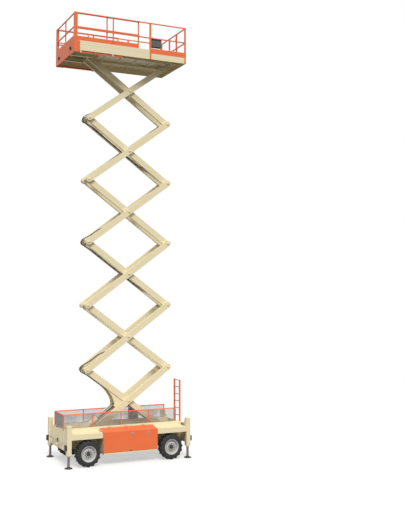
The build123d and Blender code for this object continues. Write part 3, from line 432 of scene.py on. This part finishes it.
def tyre_surface(centre):
    """Two profiles of distance across and radius, one of the bare carcass and one over a
    lug, are mirrored to the other side and carried round the axle. A flat-topped wave in
    the turning angle says how far the surface is from the first to the second. It is half
    a pitch late on one side, and turns on with the distance across, so the lugs slant."""
    bare = np.concatenate([carcass_half[::-1] * (-1, 1), carcass_half[1:]])
    raised_half = carcass_half.copy()
    raised_half[:len(lug_half)] = lug_half
    raised = np.concatenate([raised_half[::-1] * (-1, 1), raised_half[1:]])
    late = 0.5 * (bare[:, 0] > 0)
    place = (np.arange(tread_count)[:, None] + pitch_places[None, :]).ravel()[:, None]
    from_lug = np.abs((place + late + 0.5) % 1.0 - 0.5)
    share = np.clip((lug_foot - from_lug) / (lug_foot - lug_top), 0, 1)
    across = bare[:, 0] + share * (raised[:, 0] - bare[:, 0])
    radius = bare[:, 1] + share * (raised[:, 1] - bare[:, 1])
    slant = (np.abs(bare[:, 0]) - tread_middle) * np.tan(tread_slant) / tread_radius
    turn = 2 * np.pi * place / tread_count - np.pi / 2 + slant
    return np.stack([radius * np.cos(turn), across, radius * np.sin(turn)], -1) + centre


for name, centre in wheels.items():
    tyre = grid_piece(f"tyre_rubber_{name}", [(tyre_surface(centre), True, True)],
                      f"wheel_{name}", rubber)
    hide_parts(f"tyre_{name}")


# Rims: pressed steel in light grey paint, with a deep well, a dished centre, ten wheel
# nuts and a dark hub with a stepped cap.
def lathe(profile, centre, axis, segments=96):
    """A profile of radius and distance along an axis, carried round that axis."""
    axis = np.array(axis, float)
    first = np.cross(axis, (0.0, 0.0, 1.0) if abs(axis[2]) < 0.9 else (1.0, 0.0, 0.0))
    first /= np.linalg.norm(first)
    second = np.cross(axis, first)
    turn = np.linspace(0, 2 * np.pi, segments, endpoint=False)[None, :, None]
    radius, along = np.array(profile, float).T[:, :, None, None]
    ring = np.cos(turn) * first + np.sin(turn) * second
    return np.array(centre, float) + radius * ring + along * axis


rim_paint = coated_steel("rim_paint", paint(196, 196, 194), paint(182, 182, 180), gloss=0.45, dust=0.35)
hub_paint = coated_steel("hub_paint", paint(40, 40, 42), paint(52, 50, 48), gloss=0.45, dust=0.3)
rim_profile = [(0.252, 0.150), (0.254, 0.143), (0.250, 0.137), (0.234, 0.132), (0.222, 0.112),
               (0.214, 0.100), (0.214, -0.100), (0.222, -0.118), (0.234, -0.134), (0.250, -0.138),
               (0.254, -0.144), (0.252, -0.151), (0.246, -0.150), (0.244, -0.145), (0.230, -0.140),
               (0.214, -0.124), (0.206, -0.104), (0.206, 0.040), (0.200, 0.050), (0.180, 0.056),
               (0.150, 0.064), (0.125, 0.082), (0.082, 0.086), (0.070, 0.086), (0.070, 0.098),
               (0.084, 0.098), (0.128, 0.094), (0.156, 0.076), (0.186, 0.068), (0.204, 0.064),
               (0.206, 0.104), (0.214, 0.118), (0.228, 0.138), (0.244, 0.143), (0.246, 0.149)]
hub_profile = [(0.0, 0.137), (0.026, 0.137), (0.030, 0.133), (0.030, 0.126), (0.052, 0.124), (0.056, 0.119),
               (0.060, 0.112), (0.067, 0.110), (0.0685, 0.106), (0.0685, 0.030), (0.0, 0.030)]
nut_profile = [(0.0, 0.030), (0.006, 0.030), (0.006, 0.022), (0.0135, 0.020), (0.015, 0.016),
               (0.015, 0.0), (0.0, 0.0)]
nut_count = 10
nut_sides = 6
nut_ring = 0.104
disc_face = 0.096
for name, centre in wheels.items():
    outwards = np.array([0.0, np.sign(centre[1]), 0.0])
    rim = grid_piece(f"rim_steel_{name}", [(lathe(rim_profile, centre, outwards), True, True)],
                     f"wheel_{name}", rim_paint)
    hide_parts(f"rim_{name}")
    grid_piece(f"hub_{name}", [(lathe(hub_profile, centre, outwards, segments=48), False, True)],
               f"wheel_{name}", hub_paint)
    nuts = []
    for i in range(nut_count):
        angle = 2 * np.pi * (i + 0.5) / nut_count
        spot = centre + disc_face * outwards + nut_ring * np.array([np.cos(angle), 0.0, np.sin(angle)])
        nuts.append((lathe(nut_profile, spot, outwards, nut_sides), False, True))
    grid_piece(f"wheel_nuts_{name}", nuts, f"wheel_{name}", hub_paint)


# Guard mesh: galvanised wire welded in squares, hung in the orange guard frame round the
# folded arms on both sides and at the front.
def bar(start, end, width, height, up):
    """A square bar from one point to another: a ring of four corners at each end, closed
    by a pole at the ring's middle."""
    start, end, up = (np.array(value, float) for value in (start, end, up))
    along = (end - start) / np.linalg.norm(end - start)
    side = np.cross(along, up)
    corners = [(1, 1), (-1, 1), (-1, -1), (1, -1)]
    ring = np.array([side * width / 2 * a + up * height / 2 * b for a, b in corners])
    flat = np.zeros_like(ring)
    return np.stack([start + flat, start + ring, end + ring, end + flat]), False, True


def wire_material(name):
    """Zinc-coated wire: grey metal with a dull, patchy sheen."""
    material, tree, place = new_material(name)
    drift = noise(tree, place, 14.0, detail=4.0)
    tint = blend_colour(tree, drift, paint(168, 165, 163), paint(142, 139, 137))
    return finished(material, {"Base Color": tint, "Roughness": spread(tree, drift, 0.4, 0.65),
                               "Metallic": 0.4})


zinc_wire = wire_material("zinc_wire")
wire_pitch = 0.027
wire_width = 0.006
foot_bar = 0.012
tube_half = 0.015
mesh_low, mesh_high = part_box("guard_mesh")
fence_low, fence_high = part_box("guard_frame")
front_x = fence_low.x + tube_half
rear_x = mesh_high.x
side_y = fence_high.y - tube_half
foot_z = mesh_low.z + foot_bar / 2
heights = np.arange(mesh_low.z + foot_bar + wire_pitch / 2, mesh_high.z, wire_pitch)
wires = []
for side in (-side_y, side_y):
    for x in np.arange(front_x + wire_pitch, rear_x, wire_pitch):
        wires.append(bar((x, side, foot_z), (x, side, mesh_high.z), wire_width, wire_width, (0, 1, 0)))
    for z in heights:
        wires.append(bar((front_x, side, z), (rear_x, side, z), wire_width, wire_width, (0, 1, 0)))
    wires.append(bar((front_x, side, foot_z), (rear_x, side, foot_z), foot_bar, foot_bar, (0, 1, 0)))
for y in np.arange(wire_pitch - side_y, side_y, wire_pitch):
    wires.append(bar((front_x, y, foot_z), (front_x, y, mesh_high.z), wire_width, wire_width, (1, 0, 0)))
for z in heights:
    wires.append(bar((front_x, -side_y, z), (front_x, side_y, z), wire_width, wire_width, (1, 0, 0)))
wires.append(bar((front_x, -side_y, foot_z), (front_x, side_y, foot_z), foot_bar, foot_bar, (1, 0, 0)))
guard_wires = grid_piece("guard_wires", wires, "chassis", zinc_wire)
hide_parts("guard_mesh")


# Ladder rungs: round tube, galvanised like the mesh, welded between the two orange stiles
# at the rear end.
dress(wire_material("rung_zinc"), "ladder_rungs")


# Pin ends: each pivot pin of the arms ends in a turned cap with a bevelled rim, in the
# arms' cream paint, beside the outer arm.
stage_rise = joints["stage_3_pin"]["pos_m"][2] - joints["stage_2_pin"]["pos_m"][2]
right_x, _, first_z = joints["lift"]["pos_m"]
left_x = joints["stage_2_pin"]["pos_m"][0]
middle_x = joints["stage_1_cross"]["pos_m"][0]
pin_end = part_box("inner_arms_2")[1].y
cap_profile = [(0.0, 0.012), (0.020, 0.012), (0.034, 0.008), (0.040, 0.003), (0.040, -0.003),
               (0.0, -0.003)]


def pin_height(number):
    """Height of the numbered row of end pins; half numbers are the crossings."""
    return first_z + stage_rise * number


for stage in stages:
    spots = [(middle_x, pin_height(stage - 0.5))]
    if stage > stages[0]:
        spots.append((right_x, pin_height(stage - 1)))
    if stage < stages[-1]:
        spots.append((left_x, pin_height(stage)))
    caps = []
    for x, z in spots:
        for side in (-1.0, 1.0):
            cap = lathe(cap_profile, (x, side * pin_end, z), (0.0, side, 0.0), segments=32)
            caps.append((cap, False, True))
    grid_piece(f"pin_caps_{stage}", caps, f"inner_{stage}", cream)


# Hoses: three black rubber hoses climb the mast along the arms of one zigzag, held by
# clamps and saddles, and go round the outside of each end pin in a loop.
hose_rubber = rubber_material("hose_rubber", paint(34, 34, 36), paint(46, 45, 44), 300.0)
hose_radius = 0.0115
hose_lanes = (0.072, 0.099, 0.126)
loop_radius = 0.125
run_offset = 0.076
end_share = 0.12
ease_length = 0.40
cross_from, cross_to = 0.16, 0.36
run_steps = 72
loop_steps = 28


def smooth_step(value):
    """Rises from nought to one with level ends."""
    value = np.clip(value, 0, 1)
    return value * value * (3 - 2 * value)


def tube(route, radius, segments=10):
    """A round tube: at each point of the route stands a ring, square to the route, on
    the Y axis and on the one square to both. The ends close in a pole."""
    along = np.gradient(route, axis=0)
    along /= np.linalg.norm(along, axis=1, keepdims=True)
    second = np.cross(along, (0.0, 1.0, 0.0))
    second /= np.linalg.norm(second, axis=1, keepdims=True)
    first = np.cross(second, along)
    turn = np.linspace(0, 2 * np.pi, segments, endpoint=False)[None, :, None]
    ring = radius * (np.cos(turn) * first[:, None] + np.sin(turn) * second[:, None])
    rings = route[:, None] + ring
    start = np.repeat(route[:1, None], segments, 1)
    end = np.repeat(route[-1:, None], segments, 1)
    return np.concatenate([start, rings, end]), False, True


def arm_ends(stage):
    """Lower and upper pin of the arm of one stage that carries the hoses: odd stages lean
    to the front, even ones to the rear."""
    low_x, high_x = (right_x, left_x) if stage % 2 else (left_x, right_x)
    low = np.array([low_x, 0.0, pin_height(stage - 1)])
    high = np.array([high_x, 0.0, pin_height(stage)])
    return low, high


def arm_directions(stage):
    """Unit vectors up the same arm and square to it, towards the ground."""
    low, high = arm_ends(stage)
    along = (high - low) / np.linalg.norm(high - low)
    below = np.array([along[2], 0.0, -along[0]]) * np.sign(along[0])
    return along, below


def arm_run(stage, lane):
    """Hose along an arm: above it at its lower pin and below it at its upper one, closer
    to it in between, and across it between two places on its lower half. On the lowest
    arm it stays below."""
    low, high = arm_ends(stage)
    below = arm_directions(stage)[1]
    start = end_share if stage == stages[0] else 0.0
    end = 1 - end_share if stage == stages[-1] else 1.0
    share = np.linspace(start, end, run_steps)
    near_pin = np.minimum(share, 1 - share) * np.linalg.norm(high - low)
    size = run_offset + (loop_radius - run_offset) * (1 - smooth_step(near_pin / ease_length))
    side = 2 * smooth_step((share - cross_from) / (cross_to - cross_from)) - 1
    if stage == stages[0]:
        side = np.ones_like(share)
    route = low + share[:, None] * (high - low) + (side * size)[:, None] * below
    return route + (0.0, lane, 0.0)


def pin_loop(stage, lane):
    """Hose round the upper pin of an arm: an arc from below this arm, round the outside,
    to above the next one."""
    low, high = arm_ends(stage)
    rise = np.arctan2(high[2] - low[2], abs(high[0] - low[0]))
    half = np.pi / 2 - rise
    turn = np.linspace(-half, half, loop_steps)
    outside = np.sign(high[0] - low[0])
    arc = np.stack([outside * np.cos(turn), 0 * turn, np.sin(turn)], -1)
    return high + loop_radius * arc + (0.0, lane, 0.0)


hose_bodies = {stage: f"inner_{stage}" if stage % 2 else f"outer_{stage}" for stage in stages}
for stage in stages:
    runs = [tube(arm_run(stage, lane), hose_radius) for lane in hose_lanes]
    grid_piece(f"hoses_arm_{stage}", runs, hose_bodies[stage], hose_rubber)
for stage in stages[:-1]:
    loops = [tube(pin_loop(stage, lane), hose_radius) for lane in hose_lanes]
    piece = grid_piece(f"hoses_loop_{stage}", loops, None, hose_rubber)
    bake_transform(piece)


# Hose clamps: on the inner arms, black steel blocks hold the three hoses against the far
# arm's inner face. On the outer arms' stages one block has a ring round the middle cross
# tube and turns on it.
clamp_half_length = 0.028
clamp_half_width = 0.047
clamp_thickness = 0.034
clamp_shares = (0.125, 0.44, 0.62, 0.80)
clamp_lane = 0.1025
saddle_profile = [(0.0505, -clamp_half_width), (0.0600, -clamp_half_width), (0.0600, clamp_half_width),
                  (0.0505, clamp_half_width)]


def raised_plate(centre, across, up, half_width, half_height, thickness, edge=0.002, power=7.0,
                 segments=40):
    """A plate with rounded corners: rings of one superellipse, at full size at the foot and
    just under the face, then drawn in by the width of the edge, with a pole at each end.
    The face looks along across x up."""
    across, up = np.array(across, float), np.array(up, float)
    out = np.cross(across, up)
    turn = np.linspace(0, 2 * np.pi, segments, endpoint=False)
    along, rise = (np.sign(wave) * np.abs(wave) ** (2 / power) for wave in (np.cos(turn), np.sin(turn)))
    rings = []
    for width, height, level in ((0, 0, 0), (half_width, half_height, 0),
                                 (half_width, half_height, thickness - edge),
                                 (half_width - edge, half_height - edge, thickness), (0, 0, thickness)):
        ring = np.array(centre, float) + width * along[:, None] * across + height * rise[:, None] * up
        rings.append(ring + level * out)
    return np.stack(rings), False, True


def arm_block(stage, share, from_side, thickness, half_length, half_width, lane=clamp_lane, edge=0.005):
    """A rounded block at a share of an arm's length, that stands square to the arm from a
    distance to its lower side, or to its upper side where the distance is negative."""
    low, high = arm_ends(stage)
    along, below = arm_directions(stage)
    out = below * np.sign(from_side)
    foot = low + share * (high - low) + abs(from_side) * out + (0.0, lane, 0.0)
    return raised_plate(foot, np.cross((0.0, 1.0, 0.0), out), (0.0, 1.0, 0.0), half_length, half_width,
                        thickness, edge=edge)


clamp_foot = run_offset - clamp_thickness / 2
for stage in stages:
    if stage % 2:
        sides = [-1 if share < cross_from and stage > stages[0] else 1 for share in clamp_shares]
        clamps = [arm_block(stage, share, side * clamp_foot, clamp_thickness, clamp_half_length,
                            clamp_half_width) for share, side in zip(clamp_shares, sides)]
    else:
        middle = (middle_x, clamp_lane, pin_height(stage - 0.5))
        clamps = [arm_block(stage, 0.5, clamp_foot, clamp_thickness, clamp_half_length, clamp_half_width),
                  (lathe(saddle_profile, middle, (0.0, 1.0, 0.0), segments=40), True, True)]
    grid_piece(f"hose_clamps_{stage}", clamps, hose_bodies[stage], black_steel)


# Hose ends: at the foot of the lowest arm and the head of the highest one, each hose has a
# crimped ferrule and a hexagonal union in a steel block. The lower block lies against the
# inner arm, and a bar holds the upper one to the outer arm.
fitting_zinc = wire_material("fitting_zinc")
ferrule_profile = [(0.0, -0.052), (0.0150, -0.052), (0.0160, -0.050), (0.0160, -0.008), (0.0135, -0.006),
                   (0.0135, 0.010), (0.0, 0.010)]
union_profile = [(0.0, 0.010), (0.0175, 0.010), (0.0190, 0.012), (0.0190, 0.028), (0.0175, 0.030),
                 (0.0, 0.030)]
union_sides = 6
block_half_length = 0.022
block_half_width = 0.047
block_foot = 0.020
block_thickness = 0.078
block_shift = 0.014
holder_lane = 0.150
holder_half_width = 0.092
holder_foot = 0.001
holder_thickness = 0.030
for stage, end in ((stages[0], -1), (stages[-1], 1)):
    along = end * arm_directions(stage)[0]
    share = end_share if end < 0 else 1 - end_share
    ends = []
    for lane in hose_lanes:
        tip = arm_run(stage, lane)[0 if end < 0 else -1]
        ends.append((lathe(ferrule_profile, tip, along, segments=24), False, True))
        ends.append((lathe(union_profile, tip, along, union_sides), False, True))
    grid_piece(f"hose_ends_{stage}", ends, hose_bodies[stage], fitting_zinc)
    share += end * block_shift
    blocks = [arm_block(stage, share, block_foot, block_thickness, block_half_length, block_half_width)]
    if end > 0:
        blocks.append(arm_block(stage, share, holder_foot, holder_thickness, block_half_length,
                                holder_half_width, lane=holder_lane))
    grid_piece(f"hose_block_{stage}", blocks, hose_bodies[stage], black_steel)


# Door latches: each tray door has two zinc paddle latches near its top edge. At the middle of its
# foot a thin black plate on the door face stands for a drain slot: painted shade, not an opening.
latch_zinc = wire_material("latch_zinc")
latch_places = (0.05, 0.62)
latch_height = 0.955
latch_plate = (0.058, 0.034, 0.004)
latch_paddle = (0.042, 0.018, 0.007)
paddle_drop = 0.006
slot_height = 0.425
slot_plate = (0.070, 0.009, 0.002)
upwards = (0, 0, 1)
for name, side in (("left", -1.0), ("right", 1.0)):
    door_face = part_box(f"door_{name}")[int(side > 0)].y
    along_door = (-side, 0, 0)
    latches = []
    for x in latch_places:
        plate_foot = (x, door_face, latch_height)
        paddle_foot = (x, door_face + side * latch_plate[2], latch_height - paddle_drop)
        latches.append(raised_plate(plate_foot, along_door, upwards, *latch_plate, power=4.0))
        latches.append(raised_plate(paddle_foot, along_door, upwards, *latch_paddle, edge=0.003, power=3.0))
    grid_piece(f"door_latches_{name}", latches, f"tray_door_{name}", latch_zinc)
    # Painted shade: the drain slot is no opening but a thin black plate where its dark inside would show.
    slot_shade_plate = raised_plate((0.0, door_face, slot_height), along_door, upwards, *slot_plate, edge=0.001)
    grid_piece(f"door_slot_shade_{name}", [slot_shade_plate], f"tray_door_{name}", black_steel)


# Towing ring: a forged ring that hangs from a welded lug at the middle of the front plate.
plate_setback = 0.085
front_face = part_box("front_end_frame")[0].x + plate_setback
lug_plate = (0.030, 0.026, 0.030)
lug_place = (front_face + 0.004, 0.0, 0.772)
ring_place = (front_face - 0.014, 0.0, 0.725)
ring_radius = 0.044
ring_wire = 0.009
ring_turn = np.linspace(0, 2 * np.pi, 12, endpoint=False)
ring_section = np.stack([ring_radius + ring_wire * np.cos(ring_turn), ring_wire * np.sin(ring_turn)], -1)
tow_lug = raised_plate(lug_place, (0, -1, 0), upwards, *lug_plate, edge=0.004)
tow_ring = (lathe(ring_section, ring_place, (-1.0, 0.0, 0.0), segments=40), True, True)
grid_piece("tow_ring", [tow_lug, tow_ring], "chassis", black_steel)


# Ground controls: a dark steel box on the far deck beam, outside the guard, with a raised
# lid and three round switches on its outer face.
ground_face = 0.505
ground_depth = 0.120
ground_half_width = 0.150
ground_half_height = 0.195
lid_plate = (0.125, 0.140, 0.008)
lid_rise = 0.02
switch_rise = 0.06
ground_x = 0.74
ground_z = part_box("side_decks")[1].z + ground_half_height
lid_foot = ground_face + ground_depth
switch_face = lid_foot + lid_plate[2]
button_profile = [(0.0, 0.0), (0.013, 0.0), (0.013, 0.006), (0.010, 0.009), (0.0, 0.010)]
box_paint = coated_steel("box_paint", paint(86, 80, 80), paint(74, 69, 69), gloss=0.5, dust=0.2)
ground_box = [raised_plate((ground_x, ground_face, ground_z), (-1.0, 0.0, 0.0), upwards, ground_half_width,
                           ground_half_height, ground_depth, edge=0.010, power=14.0),
              raised_plate((ground_x, lid_foot, ground_z + lid_rise), (-1.0, 0.0, 0.0), upwards, *lid_plate,
                           edge=0.003, power=12.0)]
grid_piece("ground_box", ground_box, "chassis", box_paint)
switch_places = [(ground_x + x, switch_face, ground_z + switch_rise) for x in (-0.06, 0.0, 0.06)]
switches = [(lathe(button_profile, spot, (0, 1, 0), segments=24), False, True) for spot in switch_places]
grid_piece("ground_switches", switches, "chassis", latch_zinc)


# Control console: a moulded grey box hung inside the near rail. Its sloping top carries a
# dark panel with a joystick in a rubber boot, coloured buttons and a red stop knob.
console_plastic = rubber_material("console_plastic", paint(96, 96, 95), paint(84, 84, 83), 420.0)
panel_plastic = rubber_material("panel_plastic", paint(34, 35, 37), paint(42, 43, 45), 600.0)
stop_red = rubber_material("stop_red", paint(186, 30, 26), paint(170, 24, 22), 700.0)
dress(console_plastic, "control_console")
console_low, console_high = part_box("control_console")
console_slope = 0.070
slope_back = np.array([0.0, console_low.y, console_high.z])
slope_front = np.array([0.0, console_high.y, console_high.z - console_slope])
down_slope = (slope_front - slope_back) / np.linalg.norm(slope_front - slope_back)
panel_out = np.cross((1.0, 0.0, 0.0), down_slope)
panel_middle = (slope_back + slope_front) / 2 + ((console_low.x + console_high.x) / 2, 0.0, 0.0)
panel_plate = (0.188, 0.080, 0.005)
stick_x = -0.095
stop_x = 0.135
panel = raised_plate(panel_middle, (1, 0, 0), down_slope, *panel_plate, power=10.0)
grid_piece("console_panel", [panel], "platform", panel_plastic)
stick_profile = [(0.0, 0.004), (0.036, 0.004), (0.036, 0.010), (0.028, 0.014), (0.031, 0.020),
                 (0.022, 0.025), (0.025, 0.031), (0.015, 0.037), (0.008, 0.042), (0.008, 0.086),
                 (0.015, 0.092), (0.019, 0.108), (0.017, 0.130), (0.010, 0.140), (0.0, 0.142)]
stick = lathe(stick_profile, panel_middle + (stick_x, 0.0, 0.0), panel_out, segments=32)
grid_piece("console_joystick", [(stick, False, True)], "platform", panel_plastic)
knob_profile = [(0.0, 0.004), (0.016, 0.004), (0.016, 0.012), (0.010, 0.015), (0.010, 0.024),
                (0.022, 0.026), (0.024, 0.032), (0.018, 0.039), (0.0, 0.041)]
knob = lathe(knob_profile, panel_middle + (stop_x, 0.0, 0.0), panel_out, segments=32)
grid_piece("console_stop", [(knob, False, True)], "platform", stop_red)
button_foot = 0.004
button_rows = (-0.035, 0.035)
for name, x, colour, shade in (("green", -0.020, paint(58, 132, 74), paint(48, 118, 64)),
                               ("yellow", 0.025, paint(214, 172, 50), paint(198, 158, 42)),
                               ("white", 0.070, paint(214, 212, 206), paint(200, 198, 192))):
    column = panel_middle + (x, 0.0, 0.0) + button_foot * panel_out
    buttons = [(lathe(button_profile, column + row * down_slope, panel_out, segments=24), False, True)
               for row in button_rows]
    grid_piece(f"console_{name}", buttons, "platform",
               rubber_material(f"button_{name}", colour, shade, 700.0))
cable_radius = 0.009
cable_steps = 40
cable_x = console_low.x + 0.10
cable_sway = 0.05
cable_share = np.linspace(0, 1, cable_steps)
cable = np.stack([cable_x + cable_sway * smooth_step(cable_share), np.full(cable_steps, panel_middle[1]),
                  console_low.z + cable_share * (floor_top - console_low.z)], -1)
grid_piece("console_cable", [tube(cable, cable_radius)], "platform", hose_rubber)


# Bumpers: two round black rubber buffers, bolted flat on the end panel of the extension, in
# the same rubber as the tyres.
dress(rubber, "extension_bumpers")


# Engine and tank: behind the doors, the engine carries three rounded covers and an air
# cleaner, and the oil tank a filler cap.
engine_low, engine_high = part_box("engine_block")
engine_y = (engine_low.y + engine_high.y) / 2
cover_plate = (0.105, 0.085, 0.052)
cover_places = (-0.12, 0.12, 0.36)
covers = [raised_plate((x, engine_y, engine_high.z), (1, 0, 0), (0, 1, 0), *cover_plate, edge=0.018,
                       power=5.0) for x in cover_places]
grid_piece("engine_covers", covers, "chassis", latch_zinc)
cleaner_x = -0.53
cleaner_rise = 0.066
cleaner_profile = [(0.0, 0.0), (0.050, 0.0), (0.058, 0.010), (0.058, 0.170), (0.062, 0.174),
                   (0.062, 0.186), (0.058, 0.190), (0.056, 0.225), (0.040, 0.236), (0.0, 0.236)]
cleaner_foot = (cleaner_x, engine_y, engine_high.z + cleaner_rise)
cleaner = lathe(cleaner_profile, cleaner_foot, (1, 0, 0), segments=40)
grid_piece("air_cleaner", [(cleaner, False, True)], "chassis", panel_plastic)
tank_low, tank_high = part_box("hydraulic_tank")
filler_x = -0.25
filler_place = (filler_x, (tank_low.y + tank_high.y) / 2, tank_high.z)
filler_profile = [(0.0, 0.0), (0.045, 0.0), (0.045, 0.018), (0.038, 0.022), (0.040, 0.024),
                  (0.040, 0.050), (0.034, 0.056), (0.0, 0.058)]
filler = lathe(filler_profile, filler_place, upwards, segments=32)
grid_piece("tank_filler", [(filler, False, True)], "chassis", panel_plastic)
